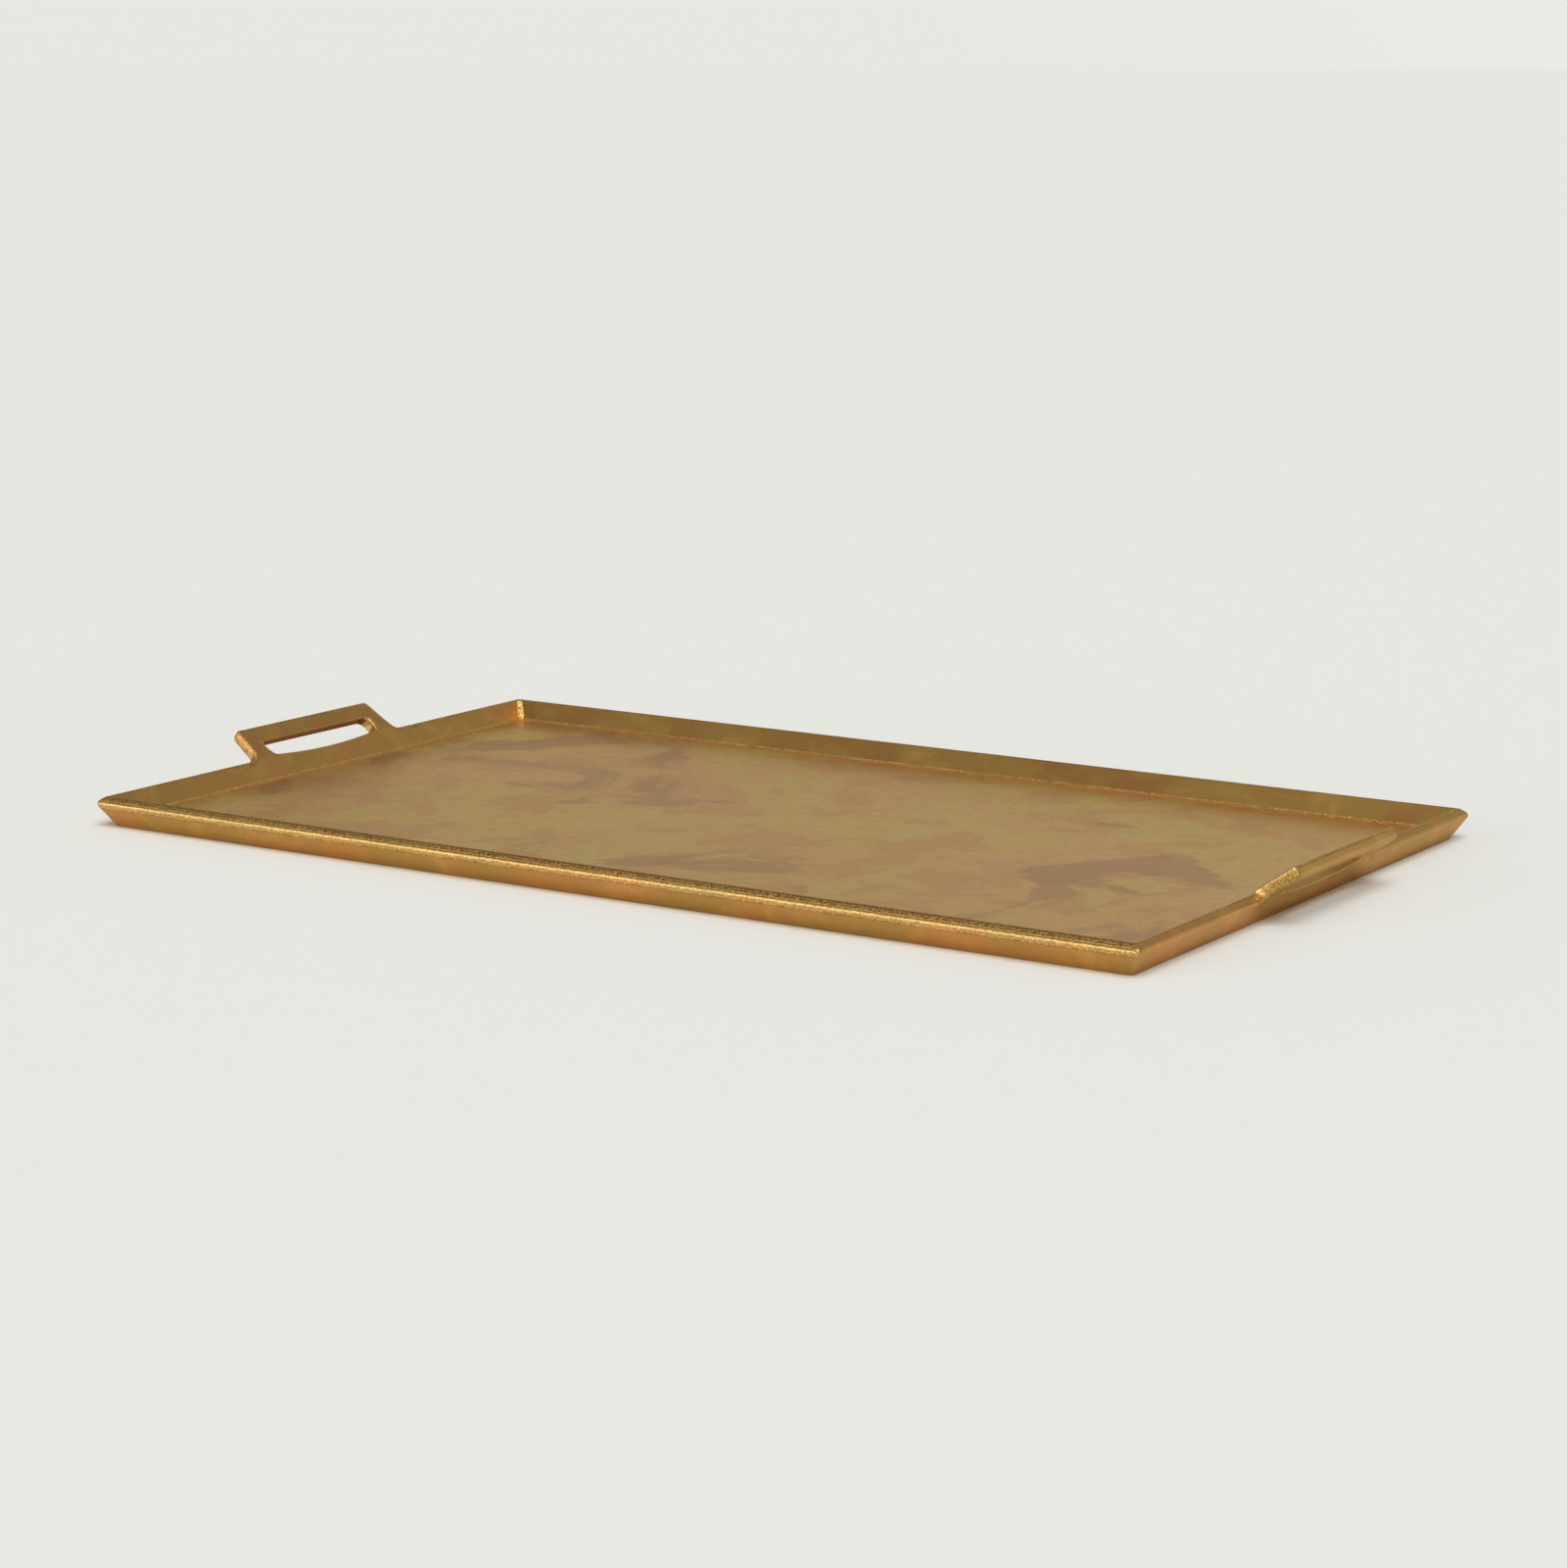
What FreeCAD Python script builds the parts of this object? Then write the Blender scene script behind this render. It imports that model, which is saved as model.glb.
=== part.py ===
import FreeCAD, Part
import math
import os
from FreeCAD import Vector

# Brass serving tray with two curled loop handles, brazed up from four cast rails and a sheet floor.
# Frame: +X along the tray, +Y across it, +Z up. The origin is the middle of the flat underside.
# All sizes are in millimetres and degrees.

# The flat base, between the outer edges of the underside
base_length = 601.0
base_width = 358.4

# Flared rim rail: a slanting wall on an inward flange that carries the floor
wall_thickness = 6.3
wall_angle = 58.0          # outer face, up from the ground
wall_slant = 15.2          # outer face, from the underside to the tip before it is rounded
flange_thickness = 3.0
flange_reach = 18.0        # from the base's outer edge to the flange's inner edge
foot_round = 0.6
tip_round = 2.4
top_round = 0.8
corner_round = 2.0         # where two rails meet, on the outside

# Floor of sheet brass, laid on the flanges
plate_thickness = 2.0
plate_gap = 0.3            # all round, between the plate's edge and the wall's foot

# Braze filler along the floor's edge and up the inside corners
bead_rise = 1.2            # up the wall, above the floor
bead_run = 1.6             # over the floor, from the plate's edge
bead_hollow = 0.25         # how far the bead's face is sunk below a straight slope
corner_braze_radius = 3.0
corner_braze_drop = 0.4    # from the rim's inner rounding down to the filler's top

# Loop handle, cast on each end rail: the wall carried on up and curled outwards
handle_angle = 35.0        # straight part, up from the ground
handle_bend_radius = 14.0  # of the face towards the tray
handle_bend_start = 0.3    # above the rim, along the wall
handle_reach = 20.0        # from the bend's corner to the grip's edge
handle_top_width = 114.4
handle_side_slope = 0.14   # each side's widening per unit of height, going down
handle_neck_round = 7.0
handle_corner_round = 3.0

# Finger slot through each handle, measured along the sheet from the rim
slot_top_width = 94.0
slot_bottom_width = 91.4
slot_top = 11.9
slot_end_bottom = 1.6
slot_bow = 4.2             # how far the lower edge's middle dips below its ends
slot_top_round = 4.0
slot_bottom_round = 5.5
slot_bow_round = 420.0
slot_edge_round = 0.8

# Two faces that turn by more than this meet in an edge to be rounded, in degrees
sharp_turn = 20.0

# Room left round a piece by the cutters that trim it
cutter_room = 60.0
cutter_overlap = 1.0
match_tolerance = 0.0001   # faces this close count as one when a cutter shares them

# Directions in a rail's section, as (outward, up)
slope = (math.cos(math.radians(wall_angle)), math.sin(math.radians(wall_angle)))
inward = (-slope[1], slope[0])
outward = (slope[1], -slope[0])


def step(point, direction, distance):
    """A section point moved a distance along a direction."""
    return (point[0] + distance * direction[0], point[1] + distance * direction[1])


def wall_face(up):
    """How far outwards the wall's inner face is at a height."""
    return rim_top[0] - (rim_top[1] - up) * slope[0] / slope[1]


# Corners of a rail's section: outwards from the base's edge, and up from the underside
rim_tip = step((0, 0), slope, wall_slant)
rim_top = step(rim_tip, inward, wall_thickness)
floor_up = flange_thickness + plate_thickness
plate_edge = wall_face(flange_thickness) - plate_gap


def middle_of(edge):
    return edge.valueAt((edge.FirstParameter + edge.LastParameter) / 2)


def rounded_outline(corners, place):
    """A closed wire through (a, b, radius) corners, each rounded by a tangent arc.

    place(a, b) turns the outline's own coordinates into a point in space."""
    count = len(corners)
    turns = []
    for index, (a, b, radius) in enumerate(corners):
        here = Vector(a, b, 0)
        before = (Vector(*corners[index - 1][:2], 0) - here).normalize()
        after = (Vector(*corners[(index + 1) % count][:2], 0) - here).normalize()
        half_angle = before.getAngle(after) / 2
        setback = radius / math.tan(half_angle)
        towards_centre = (before + after).normalize()
        middle = here + towards_centre * (radius / math.sin(half_angle) - radius)
        turns.append((here + before * setback, middle, here + after * setback))
    edges = []
    for index, turn in enumerate(turns):
        start, middle, end = (place(point.x, point.y) for point in turn)
        following = turns[(index + 1) % count][0]
        if corners[index][2] > 0:
            edges.append(Part.Arc(start, middle, end).toShape())
        edges.append(Part.LineSegment(end, place(following.x, following.y)).toShape())
    return Part.Wire(edges)


def section_place(half_span):
    """Places a section point of a rail that lies along X, at the -Y side of the base."""
    return lambda out, up: Vector(0, -(half_span + out), up)


def run_along(wire, length):
    """Carries a section along X, the same distance each side of the middle."""
    solid = Part.Face(wire).extrude(Vector(length, 0, 0))
    solid.translate(Vector(-length / 2, 0, 0))
    return solid


def mitre_wedge(length, half_span):
    """The space of one rail, between the two 45 degree mitre planes at its ends."""
    depth = 2 * flange_reach
    half = length / 2
    plan = [
        Vector(-half + depth, -half_span + depth, -cutter_room),
        Vector(half - depth, -half_span + depth, -cutter_room),
        Vector(half + cutter_room, -half_span - cutter_room, -cutter_room),
        Vector(-half - cutter_room, -half_span - cutter_room, -cutter_room),
    ]
    return Part.Face(Part.makePolygon(plan + plan[:1])).extrude(Vector(0, 0, 2 * cutter_room))


def rail_section(half_span, rim_rounds):
    """Wall, rim and flange of a rail as one closed outline; rim_rounds are the tip's and the top's."""
    corners = [
        (0, 0, foot_round),
        (*rim_tip, rim_rounds[0]),
        (*rim_top, rim_rounds[1]),
        (wall_face(flange_thickness), flange_thickness, 0),
        (-flange_reach, flange_thickness, 0),
        (-flange_reach, 0, 0),
    ]
    return rounded_outline(corners, section_place(half_span))


def flared_corner(low, high, low_half, high_half):
    """A block over one corner of the base whose outer faces slant, with the corner between them rounded."""
    def square(up, half):
        points = [(half, half), (-cutter_room, half), (-cutter_room, -cutter_room), (half, -cutter_room)]
        return Part.makePolygon([Vector(x, y, up) for x, y in points + points[:1]])

    block = Part.makeLoft([square(low, low_half), square(high, high_half)], True, True)
    corner = [edge for edge in block.Edges
              if abs(middle_of(edge).x - middle_of(edge).y) < match_tolerance
              and middle_of(edge).x > -cutter_overlap]
    return block.makeFillet(corner_round, corner)


def corner_waste():
    """What rounding takes off the outside of a mitred corner, with the base's corner at the origin."""
    low = -cutter_overlap
    high = cutter_room / 2
    fall = (rim_tip[0] - rim_top[0]) / (rim_top[1] - rim_tip[1])
    by_wall = flared_corner(low, high, low * slope[0] / slope[1], high * slope[0] / slope[1])
    rim_half_low = rim_tip[0] + (rim_tip[1] - low) * fall
    rim_half_high = rim_tip[0] + (rim_tip[1] - high) * fall
    by_rim = flared_corner(low, high, rim_half_low, rim_half_high)
    past_rounding = 4 * corner_round
    size = past_rounding + cutter_room
    block = Part.makeBox(size, size, high, Vector(-past_rounding, -past_rounding, 0))
    return block.cut(by_wall.common(by_rim))


def trimmed(bar, length, half_span):
    """A bar cut to its mitres, with the outside of both corners rounded."""
    wastes = []
    for side in (-1, 1):
        waste = corner_waste()
        waste.rotate(Vector(), Vector(0, 0, 1), -90)
        if side < 0:
            waste = waste.mirror(Vector(), Vector(1, 0, 0))
        waste.translate(Vector(side * length / 2, -half_span, 0))
        wastes.append(waste)
    rail = bar.common(mitre_wedge(length, half_span))
    return rail.cut(wastes, match_tolerance).Solids[0]


def plain_rail(length, half_span):
    """A long rail, mitred at both ends."""
    section = rail_section(half_span, (tip_round, top_round))
    return trimmed(run_along(section, length + 2 * cutter_room), length, half_span)


def handle_profile():
    """The handle's face towards the tray: its bend's start, end and centre, the grip's edge, and its run."""
    lean = math.radians(handle_angle)
    setback = handle_bend_radius * math.tan((math.radians(wall_angle) - lean) / 2)
    run = (math.cos(lean), math.sin(lean))
    start = step(rim_top, slope, handle_bend_start)
    corner = step(start, slope, setback)
    end = step(corner, run, setback)
    edge = step(corner, run, handle_reach)
    centre = step(start, inward, -handle_bend_radius)
    return start, end, edge, centre, run


def handle_slab(width, half_span):
    """The curled sheet that a handle is cut from, running down into the wall."""
    start, end, edge, centre, run = handle_profile()
    place = section_place(half_span)
    across = (run[1], -run[0])
    middle_angle = math.radians((wall_angle + handle_angle) / 2)
    from_centre = (-math.sin(middle_angle), math.cos(middle_angle))
    bend_middle = step(centre, from_centre, handle_bend_radius)
    root = step(start, slope, -wall_thickness)
    face = [root, start, bend_middle, end, edge]
    back = [step(root, outward, wall_thickness), step(start, outward, wall_thickness),
            step(centre, from_centre, handle_bend_radius - wall_thickness),
            step(end, across, wall_thickness), step(edge, across, wall_thickness)]
    near = [place(*point) for point in face]
    far = [place(*point) for point in back]
    edges = [
        Part.LineSegment(near[0], near[1]).toShape(),
        Part.Arc(near[1], near[2], near[3]).toShape(),
        Part.LineSegment(near[3], near[4]).toShape(),
        Part.LineSegment(near[4], far[4]).toShape(),
        Part.LineSegment(far[4], far[3]).toShape(),
        Part.Arc(far[3], far[2], far[1]).toShape(),
        Part.LineSegment(far[1], far[0]).toShape(),
        Part.LineSegment(far[0], near[0]).toShape(),
    ]
    return run_along(Part.Wire(edges), width)


def through_cutter(corners, half_span, lean):
    """A cutter drawn from the rim upwards on a sheet that leans by an angle, and square through it.

    corners are (along, above the rim, radius)."""
    angle = math.radians(lean)
    square = Vector(0, math.sin(angle), math.cos(angle))

    def place(along, above):
        out, up = step(rim_top, (math.cos(angle), math.sin(angle)), above)
        return Vector(along, -(half_span + out), up)

    cutter = Part.Face(rounded_outline(corners, place)).extrude(square * (2 * cutter_room))
    cutter.translate(square * -cutter_room)
    return cutter


def beside_handle(side, half_span):
    """Cutter for one side of a handle, leaving its slanting side and its rounded neck."""
    high = 2 * handle_reach
    foot_half = handle_top_width / 2 + handle_side_slope * handle_reach
    high_half = foot_half - handle_side_slope * high
    far = handle_top_width
    corners = [
        (side * foot_half, 0, handle_neck_round),
        (side * high_half, high, 0),
        (side * far, high, 0),
        (side * far, 0, 0),
    ]
    return through_cutter(corners, half_span, wall_angle)


def finger_slot(half_span):
    """Cutter for the slot, straight above and bowed downwards below."""
    corners = [
        (-slot_bottom_width / 2, slot_end_bottom, slot_bottom_round),
        (0, slot_end_bottom - slot_bow, slot_bow_round),
        (slot_bottom_width / 2, slot_end_bottom, slot_bottom_round),
        (slot_top_width / 2, slot_top, slot_top_round),
        (-slot_top_width / 2, slot_top, slot_top_round),
    ]
    return through_cutter(corners, half_span, (wall_angle + handle_angle) / 2)


def depth(point, half_span):
    """How deep a point is in the wall or handle, square in from the face towards the tray."""
    start, end, _, centre, run = handle_profile()
    out = -point.y - half_span
    up = point.z
    if (out - start[0]) * slope[0] + (up - start[1]) * slope[1] < 0:
        return (out - start[0]) * outward[0] + (up - start[1]) * outward[1]
    if (out - end[0]) * run[0] + (up - end[1]) * run[1] > 0:
        return (out - end[0]) * run[1] - (up - end[1]) * run[0]
    return handle_bend_radius - math.hypot(out - centre[0], up - centre[1])


def sharp_edges(shape):
    """Edges above the floor where the two faces beside them meet at a clear angle."""
    chosen = []
    for edge in shape.Edges:
        middle = middle_of(edge)
        normals = []
        for face in shape.ancestorsOfType(edge, Part.Face):
            normals.append(face.normalAt(*face.Surface.parameter(middle)))
        if middle.z > floor_up and normals[0].getAngle(normals[1]) > math.radians(sharp_turn):
            chosen.append(edge)
    return chosen


def round_rim(body, half_span, end):
    """Rounds the rim and handle, by the top's radius towards the tray and the tip's radius outside."""
    for radius, towards_tray in ((top_round, True), (tip_round, False)):
        edges = [edge for edge in sharp_edges(body)
                 if abs(middle_of(edge).x) < end - cutter_overlap
                 and (depth(middle_of(edge), half_span) < wall_thickness / 2) == towards_tray]
        body = body.makeFillet(radius, edges)
    return body


def handle_rail(length, half_span):
    """An end rail cast in one with its loop handle."""
    end = length / 2 + cutter_room
    widest = handle_top_width + 2 * (handle_side_slope * handle_reach + 2 * handle_neck_round)
    slab = handle_slab(widest, half_span)
    for side in (-1, 1):
        slab = slab.cut(beside_handle(side, half_span))
    body = run_along(rail_section(half_span, (0, 0)), 2 * end).fuse(slab).removeSplitter()
    grip_edge_up = handle_profile()[2][1]
    corners = [edge for edge in sharp_edges(body)
               if abs(edge.Length - wall_thickness) < 0.1 and middle_of(edge).z > grip_edge_up - wall_thickness]
    body = round_rim(body.makeFillet(handle_corner_round, corners), half_span, end)
    slot = finger_slot(half_span)
    body = body.cut(slot)
    slot_rims = [edge for edge in sharp_edges(body)
                 if slot.distToShape(Part.Vertex(middle_of(edge)))[0] < 0.01]
    return trimmed(body.makeFillet(slot_edge_round, slot_rims), length, half_span)


def floor_plate():
    """The sheet floor, lying in the rebate over the flanges."""
    length = base_length + 2 * plate_edge
    width = base_width + 2 * plate_edge
    return Part.makeBox(length, width, plate_thickness, Vector(-length / 2, -width / 2, flange_thickness))


def seam_braze(length, half_span):
    """Filler run in between the plate's edge and the wall, with a low hollow bead on top."""
    place = section_place(half_span)
    on_floor = (plate_edge - bead_run, floor_up)
    on_wall = (wall_face(floor_up + bead_rise), floor_up + bead_rise)
    across = (on_wall[0] - on_floor[0], on_wall[1] - on_floor[1])
    size = math.hypot(*across)
    half_way = step(on_floor, across, 0.5)
    sunk = step(half_way, (across[1] / size, -across[0] / size), bead_hollow)
    outline = [on_wall, (wall_face(flange_thickness), flange_thickness), (plate_edge, flange_thickness),
               (plate_edge, floor_up), on_floor]
    lines = [Part.LineSegment(place(*a), place(*b)).toShape() for a, b in zip(outline, outline[1:])]
    hollow = Part.Arc(place(*on_floor), place(*sunk), place(*on_wall)).toShape()
    bar = run_along(Part.Wire(lines + [hollow]), length + 2 * cutter_room)
    return bar.common(mitre_wedge(length, half_span)).Solids[0]


def corner_braze():
    """Filler up an inside corner between two walls, with the base's corner at the origin."""
    rise = (Vector(1, 1, slope[1] / slope[0])).normalize()
    foot = Vector(wall_face(0), wall_face(0), 0)
    normals = (Vector(inward[0], 0, inward[1]), Vector(0, inward[0], inward[1]))
    spread = normals[0].getAngle(normals[1])
    into_tray = (normals[0] + normals[1]).normalize()
    touch = corner_braze_radius * math.tan(spread / 2)
    first = foot + rise.cross(normals[0]) * touch
    last = foot + rise.cross(normals[1]) * -touch
    centre = foot + into_tray * (corner_braze_radius / math.cos(spread / 2))
    hollow = Part.Arc(first, centre - into_tray * corner_braze_radius, last).toShape()
    sides = [Part.LineSegment(last, foot).toShape(), Part.LineSegment(foot, first).toShape()]
    bar = Part.Face(Part.Wire([hollow] + sides)).extrude(rise * cutter_room)
    top = rim_top[1] - top_round * slope[1] - corner_braze_drop
    layer = Part.makeBox(cutter_room, cutter_room, top - floor_up,
                         Vector(-cutter_room / 2, -cutter_room / 2, floor_up))
    return bar.common(layer)


def turned(shape, quarter_turns):
    copy = shape.copy()
    copy.rotate(Vector(), Vector(0, 0, 1), 90 * quarter_turns)
    return copy


def build():
    """All the pieces, by name."""
    half_length = base_length / 2
    half_width = base_width / 2
    long_rail = plain_rail(base_length, half_width)
    end_rail = handle_rail(base_width, half_length)
    long_seam = seam_braze(base_length, half_width)
    end_seam = seam_braze(base_width, half_length)
    pieces = {
        "floor_plate": floor_plate(),
        "front_rail": long_rail,
        "right_handle_rail": turned(end_rail, 1),
        "back_rail": turned(long_rail, 2),
        "left_handle_rail": turned(end_rail, 3),
        "seam_braze_front": long_seam,
        "seam_braze_right": turned(end_seam, 1),
        "seam_braze_back": turned(long_seam, 2),
        "seam_braze_left": turned(end_seam, 3),
    }
    seams = [pieces[name] for name in pieces if name.startswith("seam_braze")]
    for depth_name, across in (("front", -1), ("back", 1)):
        for side_name, side in (("left", -1), ("right", 1)):
            filler = corner_braze()
            if side < 0:
                filler = filler.mirror(Vector(), Vector(1, 0, 0))
            if across < 0:
                filler = filler.mirror(Vector(), Vector(0, 1, 0))
            filler.translate(Vector(side * half_length, across * half_width, 0))
            pieces[f"corner_braze_{depth_name}_{side_name}"] = filler.cut(seams).Solids[0]
    return pieces


os.makedirs("parts", exist_ok=True)
for name, solid in build().items():
    print(f"{name}: {solid.Volume / 1000:.2f} cm3, valid {solid.isValid()}")
    solid.exportStep(f"parts/{name}.step")
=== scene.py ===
import math

import bpy
import numpy as np
from mathutils import Matrix, Vector, geometry, noise


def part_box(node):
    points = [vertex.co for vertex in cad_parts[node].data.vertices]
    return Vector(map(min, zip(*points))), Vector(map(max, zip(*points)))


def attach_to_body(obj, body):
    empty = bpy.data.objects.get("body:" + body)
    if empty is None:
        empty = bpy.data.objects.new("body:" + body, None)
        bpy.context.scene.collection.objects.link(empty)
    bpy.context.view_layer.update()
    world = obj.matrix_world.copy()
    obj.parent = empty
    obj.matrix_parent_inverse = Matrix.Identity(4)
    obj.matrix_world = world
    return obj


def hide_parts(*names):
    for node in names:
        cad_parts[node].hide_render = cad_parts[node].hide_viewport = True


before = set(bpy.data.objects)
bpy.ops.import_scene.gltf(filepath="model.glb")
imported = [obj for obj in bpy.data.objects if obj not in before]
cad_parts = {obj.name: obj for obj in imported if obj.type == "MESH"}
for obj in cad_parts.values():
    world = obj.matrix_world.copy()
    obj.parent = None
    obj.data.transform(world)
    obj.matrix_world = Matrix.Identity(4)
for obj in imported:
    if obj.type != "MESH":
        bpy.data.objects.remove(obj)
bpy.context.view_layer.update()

# A brazed-up brass tray. Lengths are in millimetres, except in the materials and the stage, which are in
# metres. The CAD frame holds throughout: +X along the tray, +Y across it, +Z up.
MM = 0.001

# Section of a rail, in (outward, up) from the base's outer edge
WALL = 6.3
WALL_ANGLE = math.radians(58)
WALL_SLANT = 15.2
FLANGE = 3.0
FLANGE_REACH = 18.0
FOOT_ROUND = 0.6
TIP_ROUND = 2.4
TOP_ROUND = 0.8
CORNER_ROUND = 2.0
PLATE = 2.0
PLATE_GAP = 0.3
BEAD_RISE = 1.2
BEAD_RUN = 1.6
BEAD_HOLLOW = 0.25
FILLER_RADIUS = 3.0

# Handle, in (along, up the sheet) from the rim's middle
HANDLE_ANGLE = math.radians(35)
BEND_RADIUS = 14.0
BEND_START = 0.3
BEND_CORNER_TO_EDGE = 20.0
HANDLE_TOP_HALF = 57.2
HANDLE_FOOT_HALF = 60.0
NECK_ROUND = 7.0
GRIP_CORNER = 3.0
SLOT_TOP_HALF = 47.0
SLOT_FOOT_HALF = 45.7
SLOT_TOP = 12.0
SLOT_FOOT = 1.6
SLOT_BOW = 4.2
SLOT_TOP_ROUND = 4.0
SLOT_FOOT_ROUND = 5.5
SLOT_BOW_ROUND = 420.0
SLOT_EDGE = 0.8
PATCH_HALF = 76.0          # half length of the stretch of rail that is meshed round its handle
PATCH_FOOT = -5.0          # that stretch's lower edge, up the sheet

MITRE = math.radians(45)
FILLER_DROP = 0.4          # from the rim's inner rounding down to the corner filler's top

# How finely the meshes are cut: steps round a rounding or across a face, and spacings in millimetres
TOP_STEPS = 5
TIP_STEPS = 7
FOOT_STEPS = 4
MITRE_STEPS = 6
FACE_STEPS = 3
TIP_TO_FOOT = 2            # outer face, from the tip's rounding to the patch's foot
BELOW_ROWS = 4             # rows of inner points: below the bend, in it, and in the grip
BEND_ROWS = 10
GRIP_ROWS = 8
BOW_STEPS = 24
FILLER_STEPS = 8
BEAD_STEPS = 6
ARC_STEP = math.radians(9)
RAIL_STEP = 8
PATCH_STEP = 4
OUTLINE_STEP = 2.0
SCATTER_STEP = 2.5
SCATTER_START = 1.5        # from the patch's end to a row's first point
SCATTER_MARGIN = 0.45      # from the sheet's outline to its nearest inner point
CORNER_CLEAR = 5           # from the evenly cut part of a rail to its flange's mitre
FLOOR_STEP = 8
BEAD_STEP = 1.2
FILLER_STEP = 0.5
SMALLEST = 0.0002          # corners nearer than this are one
CDT_REACH = 1e-5           # points nearer than this are one to the triangulation
TINY = 1e-6
LEAST = 1e-12              # keeps a length of nothing from dividing by zero

# Unevenness: of the castings, and of filler that was run in by hand
WAVER = 0.12
WAVER_SPAN = 38
WAVER_UP = 0.4             # the waver's upward share
WAVER_FROM = 1.0           # height at which it starts: the underside stays flat
WAVER_FULL = 5.0
WAVER_SEED = 1             # without one, the waver is drawn from the clock and differs each run
BEAD_GRAIN = 1.6
BEAD_LIFT = 0.06
FILLER_GRAIN = 1.5
FILLER_LIFT = 0.3
APART = 50                 # keeps one bead's grain from being another's
FILLER_APART = 40
FINER = 2.3                # how much finer the grain's second layer is, and how strong
FINER_SHARE = 0.5

# How far an edge is rubbed bright, from 0 to 1: partly real wear, partly a painted highlight
TOP_WEAR_AND_HIGHLIGHT = 0.4
TIP_WEAR_AND_HIGHLIGHT = 0.5
END_WEAR_AND_HIGHLIGHT = 0.03            # the end rails' edges: almost no rubbed brightness and no painted highlight
SIDE_FADE = 1.5            # how fast an edge's wear and painted highlight grow as it turns from the rim to the handle's side
SLOT_ROOF = -0.7           # a slot normal that points further down the sheet than this is at its top edge
SLOT_WEAR_AND_HIGHLIGHT = 0.4
SIDE_WEAR_AND_HIGHLIGHT = 0.28
EDGE_WEAR = 0.12           # sandy: filed, never polished
SLOT_SHADE = -1.0          # below 0: painted shade, on the slot's top edge that faces down
# Painted highlight on the filler: up each bead towards the wall, and over the corner filler
BEAD_HIGHLIGHT = 0.26
FILLER_HIGHLIGHT = 0.6

SLOPE = np.array([math.cos(WALL_ANGLE), math.sin(WALL_ANGLE)])
OUT = np.array([SLOPE[1], -SLOPE[0]])
RIM_TIP = WALL_SLANT * SLOPE
RIM_TOP = RIM_TIP - WALL * OUT
DOWN = np.array([0.0, -1.0])
BEND_TURN = WALL_ANGLE - HANDLE_ANGLE
BEND_END = BEND_START + BEND_RADIUS * BEND_TURN
FLOOR_UP = FLANGE + PLATE


def wall_face(up):
    """How far outwards the wall's inner face is at a height."""
    return RIM_TOP[0] - (RIM_TOP[1] - up) * SLOPE[0] / SLOPE[1]


PLATE_EDGE = wall_face(FLANGE) - PLATE_GAP
plate_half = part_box("floor_plate")[1] / MM
HALF_LENGTH = plate_half.x - PLATE_EDGE
HALF_WIDTH = plate_half.y - PLATE_EDGE


class Builder:
    """Collects faces by their corners, as (point, normal, wear and painted light), and joins equal
    points.
    """

    def __init__(self):
        self.points = []
        self.wear_and_painted_light = []
        self.known = {}
        self.faces = []
        self.normals = []

    def corner(self, point, wear_and_painted_light):
        key = tuple(round(c / SMALLEST) for c in point)
        if key not in self.known:
            self.known[key] = len(self.points)
            self.points.append(point)
            self.wear_and_painted_light.append(wear_and_painted_light)
        index = self.known[key]
        self.wear_and_painted_light[index] = max(self.wear_and_painted_light[index], wear_and_painted_light)
        return index

    def face(self, corners):
        """One face; a corner with no normal of its own takes the face's."""
        kept = {}
        for point, normal, wear_and_painted_light in corners:
            kept.setdefault(self.corner(point, wear_and_painted_light), normal)
        if len(kept) > 2:
            flat = geometry.normal([self.points[index] for index in kept])
            self.faces.append(list(kept))
            self.normals.extend(flat if normal is None else normal for normal in kept.values())

    def grid(self, rows):
        """Quads between rows of corners."""
        for row, following in zip(rows, rows[1:]):
            for a, b, c, d in zip(row, row[1:], following[1:], following):
                self.face([a, b, c, d])

    def make(self, name, turn=0, shape=None):
        """The finished piece, turned by quarter turns about Z, each point then moved by shape."""
        spin = Matrix.Rotation(turn * math.pi / 2, 3, "Z")
        points = [spin @ Vector(p) for p in self.points]
        if shape:
            points = [shape(p) for p in points]
        mesh = bpy.data.meshes.new(name)
        mesh.from_pydata([p * MM for p in points], [], self.faces)
        mesh.polygons.foreach_set("use_smooth", [True] * len(self.faces))
        wear_and_painted_light = mesh.attributes.new("wear_and_painted_light", "FLOAT", "POINT")
        wear_and_painted_light.data.foreach_set("value", self.wear_and_painted_light)
        mesh.normals_split_custom_set([(spin @ Vector(n)).normalized() for n in self.normals])
        piece = bpy.data.objects.new(name, mesh)
        bpy.context.scene.collection.objects.link(piece)
        return piece


def cast_waver(point):
    """A casting's slight unevenness: the same everywhere for every piece, so that joints stay shut."""
    lift = min(max((point.z - WAVER_FROM) / (WAVER_FULL - WAVER_FROM), 0), 1) * WAVER
    drift = noise.noise_vector(point / WAVER_SPAN) * lift
    return point + Vector((drift.x, drift.y, drift.z * WAVER_UP))


def arc(centre, radius, start, end, count):
    """(point, normal) along an arc in a plane, between two unit normals."""
    start_angle = math.atan2(start[1], start[0])
    turn = (math.atan2(end[1], end[0]) - start_angle + math.pi) % (2 * math.pi) - math.pi
    result = []
    for k in range(count + 1):
        angle = start_angle + turn * k / count
        normal = np.array([math.cos(angle), math.sin(angle)])
        result.append((centre + radius * normal, normal))
    return result


def on_wall(above, depth):
    """Section point that far up the wall from the rim's inner edge, and that deep in the wall."""
    return RIM_TOP + above * SLOPE + depth * OUT


def rim_round(depth):
    """Plan radius of a rail's mitred corner, at a depth in the wall."""
    return CORNER_ROUND * min(max(depth / WALL, 0), 1)


def spread(start, end, steps):
    """Evenly spaced values after the start, up to the end."""
    return np.linspace(start, end, steps + 1)[1:]


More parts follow.
